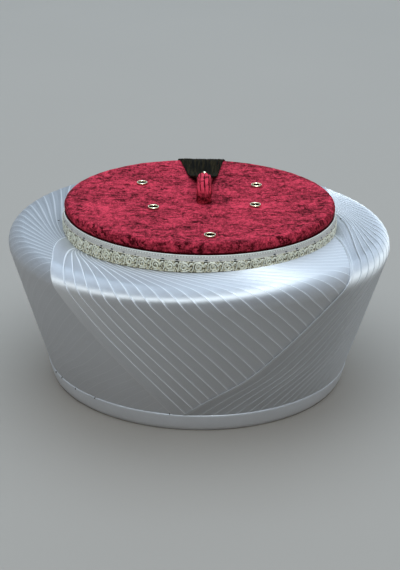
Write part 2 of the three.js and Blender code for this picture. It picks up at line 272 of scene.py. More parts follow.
def ripples(points, waves):
    """A sum of smooth noises at each point; a wave is its depth, its size along each axis in mm and a seed."""
    total = np.zeros(len(points))
    for depth, size, seed in waves:
        total += depth * np.array([noise.noise(Vector(p)) for p in points / np.array(size) + seed])
    return total


def joined(pieces):
    """The pieces made one."""
    alone(pieces[0])
    for piece in pieces:
        piece.select_set(True)
    bpy.ops.object.join()
    return pieces[0]


def write_map(piece, title, u, v):
    """A UV map from two values at each point."""
    if title not in piece.data.uv_layers:
        piece.data.uv_layers.new(name=title)
    corner = np.empty(len(piece.data.loops), np.int32)
    piece.data.loops.foreach_get("vertex_index", corner)
    values = np.stack([u, v], 1)[corner].astype(np.float32)
    piece.data.uv_layers[title].data.foreach_set("uv", values.ravel())


def write_round_map(piece, title, share, v):
    """The same with a share of the way round, which runs on past 1 in a face that lies across the seam."""
    layer = piece.data.uv_layers.new(name=title)
    for face in piece.data.polygons:
        shares = share[list(face.vertices)]
        shares = np.where(shares < shares.max() - 0.5, shares + 1, shares)
        for loop, vertex, u in zip(face.loop_indices, face.vertices, shares):
            layer.data[loop].uv = (u, v[vertex])


def turned(profile, sides):
    """Draws a profile of (radius, height) in mm from one point and spins it round the Z axis."""
    alone()
    bpy.ops.mesh.primitive_plane_add(size=MM)
    piece = bpy.context.object
    bpy.ops.object.mode_set(mode="EDIT")
    bpy.ops.mesh.merge(type="CENTER")
    bpy.ops.transform.translate(value=(profile[0][0] * MM, 0, profile[0][1] * MM))
    for (r, z), (next_r, next_z) in zip(profile, profile[1:]):
        step = ((next_r - r) * MM, 0, (next_z - z) * MM)
        bpy.ops.mesh.extrude_region_move(TRANSFORM_OT_translate={"value": step})
    bpy.ops.mesh.select_all(action="SELECT")
    bpy.ops.mesh.spin(steps=sides, angle=2 * math.pi, center=(0, 0, 0), axis=(0, 0, 1))
    bpy.ops.mesh.select_all(action="SELECT")
    bpy.ops.mesh.remove_doubles(threshold=WELD_MM * MM)
    bpy.ops.mesh.normals_make_consistent(inside=False)
    bpy.ops.object.mode_set(mode="OBJECT")
    bpy.ops.object.shade_smooth()
    return piece


def arc(r, z, radius, start_deg, end_deg, steps):
    """Points of a round corner of a profile."""
    turns = np.radians(np.linspace(start_deg, end_deg, steps + 1))
    return [(r + radius * math.cos(t), z + radius * math.sin(t)) for t in turns]


def area_m2(piece):
    return sum(face.area for face in piece.data.polygons)


def keep(piece, name, finish, slot, *nodes):
    """Names a finished piece, gives it its finish and ties it to the frame; slot is not used."""
    piece.name = piece.data.name = name
    piece.data.materials.clear()
    piece.data.materials.append(finish)
    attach(piece, "root")
    if nodes:
        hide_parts(*nodes)
    print(f"{name}: {len(piece.data.polygons)} faces, {area_m2(piece):.4f} m2")


# %% [markdown]
# ## Velvet
# Crushed velvet is one colour of pile pressed in many directions. Patches that lean away look dark and those that
# lean towards the light look pale, so the colour runs from maroon to rose through noise of three sizes, all drawn
# out sideways, with short broken creases on top. The rolled rim and the wall below it get a painted shade, read
# from the radius and the height. On a tube, dark wrinkles along its length are painted shade in its creases, read
# from the tube's own map, and a painted shade darkens it towards the foot, read from the height, while its upper
# part is painted lighter.

# %% Velvet finish
DEEP, ROSE, SHEEN = srgb(72, 3, 13), srgb(232, 68, 90), srgb(235, 90, 110)
PILE_RANGE = 1.34, 2.16
# Radii and heights over which the painted shade on the rim and at the stalk's foot comes in.
RIM_RADIUS_SQUARED = (89.6 * MM) ** 2, (92.4 * MM) ** 2
RIM_FOOT, STALK_DARK = (121.2 * MM, 120.2 * MM), (134 * MM, 130 * MM)
STALK_WRINKLES = 11


def velvet_finish(name, tube=False):
    velvet = Finish(name)
    spot = velvet.place()
    patches = velvet.cloud(spot, (28, 38, 45), 3.0, 0.6)
    nap = velvet.cloud(spot, (150, 170, 220), 2.0, 0.6)
    tufts = velvet.cloud(spot, (420, 280, 420), 3.0, 0.75)
    wave = velvet.cloud(spot, (55, 210, 210), 2.0, 0.55, turn=(0, 0, 0.12)) - 0.5
    broken = velvet.cloud(spot, (45, 70, 70)).between(0.46, 0.58)
    crease = (1 - (wave * wave * 420).between(0.0, 0.35)) * broken
    grain = velvet.cloud(spot, (1000, 560, 800), 2.0, 0.7)
    tone = patches * 0.6 + nap * 0.8 + tufts * 1.2 + grain * 0.9 - crease * 0.45
    x, y, height = velvet.parts(spot)
    if tube:
        share, length, _ = velvet.parts(velvet.place("tube"))
        drift = velvet.cloud(velvet.place("tube"), (3, 2.5, 1), 1.0)
        folds = (share * (2 * math.pi * STALK_WRINKLES) + drift * 7.0).sine().between(0.35, 0.9)
        painted_wrinkle_shade = folds * length.between(0.22, 0.4)
        # Painted light and shade: the stalk is painted lighter overall, and darker towards its foot and in its
        # wrinkles.
        foot = height.between(*STALK_DARK)
        tone = tone + 0.3 - foot * 0.5 - painted_wrinkle_shade * 0.6
    else:
        # Painted shade on the rolled rim and on the crown's wall below it.
        painted_rim_shade = (x * x + y * y).between(*RIM_RADIUS_SQUARED)
        tone = tone - painted_rim_shade * 0.04 - height.between(*RIM_FOOT) * 0.6
    return velvet.shade(
        Base_Color=velvet.blend(tone.between(*PILE_RANGE), DEEP, ROSE),
        Roughness=0.85,
        Normal=velvet.bump(tufts + nap - crease * 0.8, 0.4),
        Specular_IOR_Level=0.05,
        Sheen_Weight=0.04,
        Sheen_Roughness=0.4,
        Sheen_Tint=SHEEN,
    )


velvet_look = velvet_finish("crushed_velvet")

# %% [markdown]
# ## Crown
# The crown is a stiff cap covered in velvet: a shallow dish with a rolled rim, and a plain wall that goes down
# inside the wrap. It is spun from a fine profile so that creases can be pressed into it by moving points, and the
# eyelet holes are then cut with a Boolean, which keeps the wall closed.

# %% Crown
CROWN_RADIUS, CROWN_TOP, CROWN_DISH, CROWN_WALL = 93, 127.2, 2, 2
RIM_ROLL, RIM_PROUD, RIM_TUCK_DEG = 4, 0.9, -40
FLAT_RADIUS = CROWN_RADIUS + RIM_PROUD - RIM_ROLL
CRUSH = [(0.34, (7.5, 4, 5), 0), (0.3, (22, 12, 14), 5)]
CRUSHED_ABOVE, DENT_DEPTH, DENT_REACH = 110, 0.35, 6.5
EYELETS = {
    "eyelet_front": (6.8, -76.5),
    "eyelet_left": (-31.6, -18.4),
    "eyelet_right": (38.2, -10.6),
    "eyelet_back_left": (-41.7, 34.2),
    "eyelet_back_right": (40.4, 32.9),
}


def crown_height(r):
    return CROWN_TOP - CROWN_DISH * (1 - (r / FLAT_RADIUS) ** 2)


top_radii = np.linspace(0, FLAT_RADIUS, 66)
wall_heights = [119.5, 116, 112, 108, 80, 40, 0]
inner = CROWN_RADIUS - CROWN_WALL
roll_height = CROWN_TOP - RIM_ROLL
crown_profile = [
    *[(r, crown_height(r)) for r in top_radii],
    *arc(FLAT_RADIUS, roll_height, RIM_ROLL, 90, RIM_TUCK_DEG, 18)[1:],
    *[(CROWN_RADIUS, z) for z in wall_heights],
    *[(inner, z) for z in wall_heights[::-1]],
    *arc(inner - RIM_ROLL + CROWN_WALL, roll_height, RIM_ROLL - CROWN_WALL, 0, 90, 4),
    *[(r, crown_height(r) - CROWN_WALL) for r in top_radii[-6::-12]],
    (0, crown_height(0) - CROWN_WALL),
]
crown = turned(crown_profile, 300)

p = points_of(crown)
radius = np.hypot(p[:, 0], p[:, 1])
on_top = (p[:, 2] > crown_height(radius) - 0.6 * CROWN_WALL) | (radius > inner + 0.5 * CROWN_WALL)
on_top &= p[:, 2] > CRUSHED_ABOVE
crush = ripples(p, CRUSH)
rim_share = np.clip((radius - FLAT_RADIUS) / RIM_ROLL, 0, 1)
outward = np.stack([p[:, 0] / np.maximum(radius, 1), p[:, 1] / np.maximum(radius, 1)], 1) * rim_share[:, None]
press = np.zeros(len(p))
for x, y in EYELETS.values():
    reach = np.hypot(p[:, 0] - x, p[:, 1] - y)
    press += DENT_DEPTH * np.exp(-((reach / DENT_REACH) ** 2))
p[:, 2] += on_top * (crush * (1 - rim_share) - press)
p[:, :2] += (on_top * 0.5 * crush)[:, None] * outward
set_points(crown, p)
print(f"crown: {on_top.sum()} points pressed")

# %% Eyelet holes in the crown
HOLE_RADIUS, CUTTER_LENGTH = 3.3, 12
cutters = []
for x, y in EYELETS.values():
    alone()
    place = (x * MM, y * MM, crown_height(math.hypot(x, y)) * MM)
    size = {"radius": HOLE_RADIUS * MM, "depth": CUTTER_LENGTH * MM}
    bpy.ops.mesh.primitive_cylinder_add(vertices=40, location=place, **size)
    cutters.append(bpy.context.object)
cutter = joined(cutters)
alone(crown)
hole = crown.modifiers.new("holes", "BOOLEAN")
hole.operation, hole.solver, hole.object = "DIFFERENCE", "EXACT", cutter
bpy.ops.object.modifier_apply(modifier=hole.name)
bpy.data.objects.remove(cutter)
keep(crown, "velvet_crown", velvet_look, "velvet", "cap_crown")

# %% [markdown]
# ## Metal
# The eyelets and the bead are pale polished brass. The colour hardly varies, but thin marks in the roughness keep
# it from looking like a mirror; only inside the eyelets is it painted dark, as shade.

# %% Metal finish
metal = Finish("pale_brass")
spot = metal.place()
marks = metal.cloud(spot, (900, 900, 2500), 3.0)
dull = metal.cloud(spot, 400.0)
_, depth, _ = metal.parts(metal.place("ring"))
bright = metal.blend(dull, (0.88, 0.74, 0.48, 1), (0.98, 0.88, 0.66, 1))
# Painted shade: the brass turns near-black with depth inside the barrel.
metal_look = metal.shade(
    Base_Color=metal.blend(depth.between(0.3, 0.8), bright, (0.02, 0.018, 0.014, 1)),
    Metallic=1.0,
    Roughness=0.12 + marks * 0.16,
    Normal=metal.bump(marks, 0.02),
)

# %% [markdown]
# ## Eyelets
# An eyelet is a flanged tube: a low domed ring on the velvet and a barrel through the cap. One is spun from its
# profile and copied to the five places, each copy with its own mesh. Its map holds the depth below the velvet, and
# the metal is painted dark with it: a painted shade for the inside of the barrel.

# %% Eyelets
EYELET_RADIUS, EYELET_HOLE, EYELET_WALL, EYELET_DOME, EYELET_TAIL = 4.0, 3.05, 0.25, 1.0, 3.4
middle = (EYELET_RADIUS + EYELET_HOLE) / 2
half = (EYELET_RADIUS - EYELET_HOLE) / 2
eyelet_profile = [
    (EYELET_HOLE, -EYELET_TAIL),
    (EYELET_HOLE, -1.0),
    *[(middle - half * math.cos(t), 0.15 + EYELET_DOME * math.sin(t)) for t in np.linspace(0, math.pi, 13)],
    (EYELET_RADIUS - 0.25, 0.0),
    (EYELET_HOLE + EYELET_WALL, -0.1),
    (EYELET_HOLE + EYELET_WALL, -EYELET_TAIL),
    (EYELET_HOLE, -EYELET_TAIL),
]
pattern = turned(eyelet_profile, 44)
ring_points = points_of(pattern)
reach = np.hypot(ring_points[:, 0], ring_points[:, 1])
write_map(pattern, "ring", reach, (EYELET_DOME - ring_points[:, 2]) * (reach < middle))
for name, (x, y) in EYELETS.items():
    eyelet = pattern.copy()
    eyelet.data = pattern.data.copy()
    bpy.context.collection.objects.link(eyelet)
    lift = crown_height(math.hypot(x, y) + EYELET_RADIUS)
    set_points(eyelet, ring_points + [x, y, lift])
    keep(eyelet, f"brass_{name}", metal_look, "metal", name)
bpy.data.objects.remove(pattern)

# %% [markdown]
# ## Trim band
# The trim is a woven metallic ribbon with a raised lace below it. The ribbon is a thin strip spun round the foot
# of the crown. The lace's scrolls are cords: one repeat is drawn with curves, made a mesh, bent to the band's
# round and copied all the way round.

# %% Ribbon finish
REPEATS = 64
BAND_TOP, BAND_FOOT, BAND_STEP, BAND_INNER = 119.8, 108.8, 116, 93.3
RIBBON_RADIUS, LACE_RADIUS = 94.6, 95.1

ribbon = Finish("woven_trim")
cloth = ribbon.place("cloth")
round_share, height, _ = ribbon.parts(cloth)
repeat = (round_share * REPEATS).fraction()
weave = (round_share * (REPEATS * 26 * math.pi)).sine() * (height * 3.1).sine()
net = ribbon.cloud(cloth, (REPEATS * 9, 0.9, 1), 2.0)
is_lace = 1 - height.between(BAND_STEP - 0.25, BAND_STEP + 0.05)
is_top = height.between(BAND_TOP - 0.55, BAND_TOP - 0.4)


def spots(across, up, wide, tall):
    """1 in a soft oval of each repeat, wide in repeats and tall in mm."""
    x, y = (repeat - across) / wide, (height - up) / tall
    return 1 - (x * x + y * y).between(0.5, 1.0)


beads = (round_share * (REPEATS * 10 * math.pi)).sine().between(-0.2, 0.5) * spots(0.5, BAND_TOP - 1.15, 9, 0.5)
lines = (height * 9.0).sine().between(0.2, 0.9)
uneven = ribbon.cloud(cloth, (REPEATS * 1.7, 0.3, 1), 1.0).between(0.36, 0.56)
silver = ribbon.blend(net * 0.6 + lines * 0.4, srgb(198, 193, 186), srgb(248, 243, 230))
plain = ribbon.blend(is_top + beads, silver, srgb(252, 251, 240))
plain = ribbon.blend(spots(0.5, BAND_STEP + 0.5, 0.13, 0.5) * uneven, plain, srgb(30, 34, 48))
lace_tone = ribbon.blend(net.between(0.43, 0.57), srgb(92, 82, 50), srgb(252, 244, 212))
gaps = 1 - spots(0.5, 115.1, 0.16, 0.7)
LACE_GAPS = [
    (0.12, 113.3, 0.06, 0.9),
    (0.6, 111.7, 0.09, 1.3),
    (0.38, 113.2, 0.05, 1.0),
    (0.9, 110.6, 0.09, 0.5),
]
GAP_LEAST = 0.35
for across, up, wide, tall in LACE_GAPS:
    gaps = gaps * (1 - spots(across, up, wide, tall))
lace_colour = ribbon.blend((1 - gaps) * (GAP_LEAST + uneven * (1 - GAP_LEAST)), lace_tone, srgb(12, 10, 6))
ribbon_look = ribbon.shade(
    Base_Color=ribbon.blend(is_lace, plain, lace_colour),
    Metallic=0.2,
    Roughness=0.36 + net * 0.2,
    Normal=ribbon.bump(weave + net, 0.12),
)

# %% Ribbon strip
ribbon_profile = [
    (BAND_INNER + 0.2, BAND_TOP - 0.8),
    (BAND_INNER + 0.4, BAND_TOP - 0.1),
    (RIBBON_RADIUS - 0.3, BAND_TOP),
    (RIBBON_RADIUS, BAND_TOP - 0.35),
    (RIBBON_RADIUS - 0.1, BAND_TOP - 0.8),
    (RIBBON_RADIUS + 0.02, BAND_TOP - 1.2),
    (RIBBON_RADIUS, BAND_STEP + 0.5),
    (LACE_RADIUS, BAND_STEP - 0.1),
    (LACE_RADIUS + 0.15, BAND_STEP - 0.5),
    (LACE_RADIUS, BAND_STEP - 0.9),
    (LACE_RADIUS, BAND_FOOT + 0.9),
    (LACE_RADIUS + 0.15, BAND_FOOT + 0.5),
    (LACE_RADIUS - 0.1, BAND_FOOT + 0.1),
    (BAND_INNER + 0.6, BAND_FOOT),
]
band = turned(ribbon_profile, REPEATS * 6)

SAG_DEG = [-180, -165, -150, -130, -110, -90, -65, -45, -20, 10, 180]
SAG_MM = [0, -1.2, -2.6, -2.0, -1.0, -0.5, 0.9, 1.3, 0.7, 0, 0]


def hang(points):
    """Lets the lace below the ribbon hang down to the wrap where the wrap lies low."""
    sag = np.minimum(np.interp(np.degrees(np.arctan2(points[:, 1], points[:, 0])), SAG_DEG, SAG_MM), 0)
    share = np.clip((BAND_STEP - points[:, 2]) / (BAND_STEP - BAND_FOOT), 0, 1)
    return points + np.outer(sag * share, [0, 0, 1])


# The map holds the share of the way round and the height in mm, so that the weave follows the ribbon.
p = points_of(band)
write_round_map(band, "cloth", np.arctan2(p[:, 1], p[:, 0]) / (2 * math.pi), p[:, 2])
set_points(band, hang(p))
keep(band, "trim_ribbon", ribbon_look, "trim", "crown_band")

# %% Scroll finish
braid = Finish("gilt_braid")
spot = braid.place()
twist = braid.cloud(spot, 1500.0, 2.0)
tarnish = braid.cloud(spot, 60.0)
braid_colour = braid.blend(tarnish * 0.6 + twist * 0.4, srgb(232, 229, 200), srgb(255, 253, 242))
braid_look = braid.shade(
    Base_Color=braid_colour, Metallic=0.2, Roughness=0.35 + twist * 0.2, Normal=braid.bump(twist, 0.08)
)

# %% One repeat of the scrolls
def round_curve(thickness, bevel):
    """A curve without splines yet, which makes every spline a round cord; thickness is half its width in mm."""
    alone()
    bpy.ops.curve.primitive_nurbs_path_add()
    cord = bpy.context.object
    cord.data.splines.clear()
    cord.data.dimensions, cord.data.bevel_depth, cord.data.bevel_resolution = "3D", thickness * MM, bevel
    cord.data.use_fill_caps = True
    return cord


def cord_mesh(path, thickness):
    """A cord through points (along, up) in mm, drawn flat as a curve and made a mesh."""
    cord = round_curve(thickness, 1)
    spline = cord.data.splines.new("NURBS")
    spline.points.add(len(path) - 1)
    for point, (along, up) in zip(spline.points, path):
        point.co = (along * MM, 0, up * MM, 1)
    spline.use_endpoint_u, spline.order_u, spline.resolution_u = True, 3, 2
    bpy.ops.object.convert(target="MESH")
    return bpy.context.object


SCROLL_MIDDLE = 112.2
turns = np.linspace(0.15, 2 * math.pi * 1.5, 20)
curl = [(r * math.cos(t), SCROLL_MIDDLE + r * math.sin(t)) for t, r in zip(turns, np.linspace(2.8, 0.7, 20))]
stem = [(-4.4, 109.8), (-3.7, 110.7), (-3.4, 112.3), (-3.5, 113.9), (-2.6, 115.1), (-0.8, 115.4), (1.2, 115.0)]
leaf = [(2.9, 112.7), (3.5, 113.9), (4.3, 114.8), (5.1, 114.4)]
foot = [(-1.2, 109.5), (0.4, 109.35), (2.2, 109.8), (3.5, 110.9)]
CORDS = [(curl, 0.46), (stem, 0.42), (leaf, 0.56), (foot, 0.4)]
motif = joined([cord_mesh(path, thickness) for path, thickness in CORDS])
flat_points = points_of(motif)
print(f"one repeat of the scrolls: {len(motif.data.polygons)} faces")

# %% Scrolls all the way round
SCROLL_PROUD, SCROLL_FLAT = 0.12, 0.7
copies = []
for k in range(REPEATS):
    copy = motif.copy()
    copy.data = motif.data.copy()
    bpy.context.collection.objects.link(copy)
    angle = 2 * math.pi * k / REPEATS + flat_points[:, 0] / LACE_RADIUS
    out = LACE_RADIUS + SCROLL_PROUD + SCROLL_FLAT * flat_points[:, 1]
    set_points(copy, hang(np.stack([out * np.cos(angle), out * np.sin(angle), flat_points[:, 2]], 1)))
    copies.append(copy)
scrolls = joined(copies)
bpy.data.objects.remove(motif)
alone(scrolls)
bpy.ops.object.shade_smooth()
keep(scrolls, "trim_scrolls", braid_look, "trim")

# %% [markdown]
# ## Satin
# Satin floats long threads along the pleats, so it shines in a line across them. The thread direction comes from
# the shader's anisotropy, turned one way for the front panel and the other way for the sides; it is measured
# round the middle of the mesh's texture space, which is set so that it follows the pleats. Along a pressed edge
# the cloth is painted whiter and has no gloss: a painted highlight for the light that the fold's nose catches.
# The map "pleat" holds the pleat's number and the room between two pleats in mm, so a painted highlight line of
# the same width can be drawn along every fold; the attribute "press" is its strength, and one more attribute marks
# the painted highlight on the bound edges and a painted sheen on the first strips below the shoulder. The
# attribute
# "wall" goes from 0 on the ledge to 1 on the wall, where the side panels' gloss and tone differ, the tone as
# painted light and shade, and "shine" takes the gloss off crowded pleats. Pale streaks on the side panels are
# painted highlights. Fine threads and slubs are a bump on the map "cloth".

# %% Satin finish
# Strip colours, and the white of the painted highlight on folds.
STRIP_DARK, STRIP_LIGHT, PAINTED_HIGHLIGHT_WHITE = (0.62, 0.63, 0.65, 1), (0.7, 0.71, 0.73, 1), (0.94, 0.95, 0.96, 1)
LINE_TOP, LINE_FACE, LINE_SOFT, LINE_ROOM = 0.14, 0.05, 0.18, 1.4
THREAD_PITCH, SATIN_ROUGH, SLUB_ROUGH = 0.42, 0.56, 0.08


def toned(colour, tone):
    return (*(tone * v for v in colour[:3]), 1)


def satin_finish(name, thread_turn, looks, gloss, tone, painted_streaks):
    """A satin whose folds look right (1) or left (-1); gloss and tone are those of the ledge and the wall, and the
    tone is painted light and shade.
    """
    satin = Finish(name)
    wall, shine, edge, press = (satin.trait(title) for title in ("wall", "shine", "painted_highlight", "press"))
    cloth = satin.place("cloth")
    across, _, _ = satin.parts(cloth)
    pleat, room, _ = satin.parts(satin.place("pleat"))
    off = ((pleat + 0.5).fraction() - 0.5) * room.math("MAXIMUM", room, LINE_ROOM) * looks
    line = off.between(-LINE_TOP - LINE_SOFT, -LINE_TOP) * (1 - off.between(LINE_FACE, LINE_FACE + LINE_SOFT))
    # Painted highlight along the bound edges and along each fold line.
    painted_highlight = 1 - (1 - edge) * (1 - line * press)
    thread = (across * (2 * math.pi / THREAD_PITCH)).sine()
    slub = satin.cloud(cloth, (1.6, 0.06, 1), 3.0)
    wash = satin.cloud(cloth, (0.05, 0.03, 1), 2.0)
    # Painted highlight: pale streaks where the side panels' satin catches the light.
    painted_streak_highlight = satin.cloud(cloth, (1.1, 0.022, 1), 1.0).between(0.55, 0.7) * painted_streaks
    white = painted_highlight + painted_streak_highlight * (1 - painted_highlight)
    mottle = slub * 0.5 + wash * 0.5
    # The ledge and the wall each take a tone, which is painted light and shade; pressed is the painted highlight
    # colour.
    strip, pressed = (
        satin.blend(wall, *(satin.blend(mottle, toned(dark, t), toned(light, t)) for t in tone))
        for dark, light in ((STRIP_DARK, STRIP_LIGHT), (PAINTED_HIGHLIGHT_WHITE, PAINTED_HIGHLIGHT_WHITE))
    )
    return satin.shade(
        Base_Color=satin.blend(white, strip, pressed),
        Metallic=(gloss[0] + wall * (gloss[1] - gloss[0])) * shine * (1 - white),
        Roughness=SATIN_ROUGH + slub * SLUB_ROUGH,
        Normal=satin.bump(thread * 0.5 + slub * 2.0, 0.03),
        Anisotropic=1.0,
        Anisotropic_Rotation=thread_turn,
    )


# One satin in three copies toned as painted light and shade: the right panel darker, most on its wall, the left
# panel's ledge darker than its wall.
satin_front = satin_finish("satin_wound_right", 0.091, 1, (0.52, 0.52), (1.0, 1.0), 0.0)
satin_side = satin_finish("satin_wound_left", 0.405, -1, (0.95, 0.15), (0.84, 0.7), 0.45)
satin_soft = satin_finish("satin_soft_left", 0.405, -1, (0.3, 0.3), (0.6, 1.0), 0.0)

# %% [markdown]
# ## The wrap's outline
# Seen from the side the wrap is a level ledge beside the crown, a tight round shoulder and a wall that narrows to
# the hem. One distance runs along that outline from the crown to the hem. A panel's left edge is the angle round
# the axis at each distance, and every pleat is that same line turned a little further round.

# %% Outline and edges
LEDGE_INNER, LEDGE_RISE = 95.4, 0.4
SHOULDER_RADIUS, SHOULDER_CENTRE, SHOULDER_HEIGHT, SHOULDER_TURN_DEG = 9.7, 122.9, 99.4, 106.9
LEDGE = SHOULDER_CENTRE - LEDGE_INNER
ARC = SHOULDER_RADIUS * math.radians(SHOULDER_TURN_DEG)
EDGE_ALONG = np.array([0, 5, 15, 27.5, 33.5, 39.5, 45.6, 66, 85, 104, 119, 133])
EDGE_DEG = {
    "front": [-161.7, -158.7, -150.6, -140.6, -137.4, -135.2, -133.4, -126.4, -118.7, -110.9, -104.7, -98.9],
    "side": [-15, -19.5, -28.4, -37.3, -40.9, -43.5, -46.5, -56.1, -64.8, -74.6, -85.8, -94.7],
}
PLEAT_SHARE = np.array([0.5, 0.8, 1, 1, 1, 1, 1, 1, 0.9, 0.8, 0.65, 0.3])


def smooth(x, xs, ys):
    """A curve without corners through a table, running straight on past its ends."""
    xs, ys = np.asarray(xs, float), np.asarray(ys, float)
    slopes = np.gradient(ys, xs)
    inside = np.clip(x, xs[0], xs[-1])
    i = np.clip(np.searchsorted(xs, inside) - 1, 0, len(xs) - 2)
    wide = xs[i + 1] - xs[i]
    t = (inside - xs[i]) / wide
    bend = (slopes[i] * (1 - t) - slopes[i + 1] * t) * wide * t * (1 - t)
    step = ys[i + 1] - ys[i]
    curve = ys[i] + step * t * t * (3 - 2 * t) + bend
    return curve + np.where(x > xs[-1], slopes[-1], slopes[0]) * (x - inside)


def own_edge(along, edge):
    return smooth(along, EDGE_ALONG, EDGE_DEG[edge])


def outline(along):
    """Radius and height of the wrap, and its outward direction, at a distance along the outline."""
    turn = np.radians(90 - np.clip((along - LEDGE) / ARC, 0, 1) * SHOULDER_TURN_DEG)
    wall = np.maximum(along - LEDGE - ARC, 0)
    out_r, out_z = np.cos(turn), np.sin(turn)
    on_ledge = along < LEDGE
    top = SHOULDER_HEIGHT + SHOULDER_RADIUS
    r = np.where(on_ledge, LEDGE_INNER + along, SHOULDER_CENTRE + SHOULDER_RADIUS * out_r + wall * out_z)
    on_arc = SHOULDER_HEIGHT + SHOULDER_RADIUS * out_z - wall * out_r
    return r, np.where(on_ledge, top - LEDGE_RISE * (1 - along / LEDGE), on_arc), out_r, out_z


rows = np.concatenate(
    [
        [-1.5, 0, 1, 2, 3.2, 4.6, 6.2],
        np.arange(8, LEDGE, 1.6),
        np.linspace(LEDGE, LEDGE + ARC, 24),
        np.linspace(LEDGE + ARC, EDGE_ALONG[-1], 40)[1:],
        [134.5, 136],
    ]
)
print(f"outline: ledge {LEDGE:.1f}, shoulder {ARC:.1f}, {len(rows)} rows")

# %% [markdown]
# ## Pleats
# A pressed pleat seen end on is a flat strip that rises a little to its edge, and a small round nose where the
# cloth turns down to the next strip. The columns below describe that shape once for every pleat: a turn from the
# panel's edge, a slide to the side in mm, a lift off the outline and the share of painted highlight on the fold.
# The front panel's noses look right and the side panels' look left. Where a panel is soft its pleats become round
# ribs.

# %% Columns of a panel
BORDER_DEG, EDGE_LIFT, VALLEY, SAGGING = 6.2, 1.0, 0.08, 0.25
STRIP_RISE, RIB_ROUND = 0.42, 0.8
NOSE = [(0.42, 0.49), (0.28, 0.53), (0.15, 0.54), (0.04, 0.49)]
NOSE += [(-0.06, 0.39), (-0.13, 0.26), (-0.16, 0.14), (-0.14, 0.06)]
# Slide, lift and painted highlight share of each point across a panel's edge.
EDGE_NOSE = [
    (1.2, 0.1, 0.0),
    (0.25, 0.25, 0.0),
    (-0.08, 0.42, 0.4),
    (-0.18, 0.65, 1.0),
    (-0.06, 0.88, 1.0),
    (0.3, 1.0, 1.0),
    (0.7, 1.0, 0.4),
    (1.3, 0.97, 0.0),
]
EDGE_SEAM = [(1.6, 0.97, 0.0), (1.9, 1.06, 1.0), (2.35, 1.1, 1.0), (2.7, 0.98, 0.0)]
BORDER, STRIP = np.linspace(0.27, 0.84, 12), np.linspace(0.16, 0.8, 6)
RIB = [0.0, 0.1, 0.22, 0.36, 0.5, 0.64, 0.78, 0.9]


def panel_columns(count, pitch, folds, height):
    """Rows of turn (deg), slide (mm), lift (mm), pleat number and the edge's painted highlight share, from the
    panel's left edge on.
    """
    right = folds == "right"
    border = EDGE_NOSE if right else EDGE_NOSE + EDGE_SEAM
    columns = [(0, slide, lift * EDGE_LIFT, -1, painted_highlight) for slide, lift, painted_highlight in border]
    last = height * NOSE[0][1] if right else VALLEY
    for s in BORDER:
        columns.append((s * BORDER_DEG, 0, EDGE_LIFT + (last - EDGE_LIFT) * s, -1, 0))
    for k in range(count):
        turn = BORDER_DEG + k * pitch
        if folds == "ribs":
            lifts = [VALLEY + height * math.sin(math.pi * s) ** RIB_ROUND for s in RIB]
            columns += [(turn + s * pitch, 0, lift, k, 0) for s, lift in zip(RIB, lifts)]
            continue
        nose = [(-slide, lift) for slide, lift in NOSE] if right else NOSE[::-1]
        columns += [(turn, slide, lift * height, k, 0) for slide, lift in nose]
        for s in STRIP:
            rise = s if right else 1 - s
            lift = VALLEY + STRIP_RISE * rise - SAGGING * math.sin(math.pi * s)
            columns.append((turn + s * pitch, 0, lift * height, k, 0))
    return np.array(columns).T


FRONT_PITCH, RIGHT_PITCH, LEFT_PITCH = 4.15, 4.3, 5.0
front_columns = panel_columns(35, FRONT_PITCH, "right", 1.0)
right_columns = panel_columns(41, RIGHT_PITCH, "left", 0.6)
left_columns = panel_columns(39, LEFT_PITCH, "ribs", 0.35)
print("columns:", front_columns.shape[1], right_columns.shape[1], left_columns.shape[1])

# %% [markdown]
# ## Lines of the front panel
# On the wall every pleat is the panel's edge turned further round. On the ledge the maker gathered the pleats into
# a fan: towards the left end they run together at one place beside the crown, and further right they spread. The
# table gives that extra turn for a few pleats and distances, and the rest is read between them.

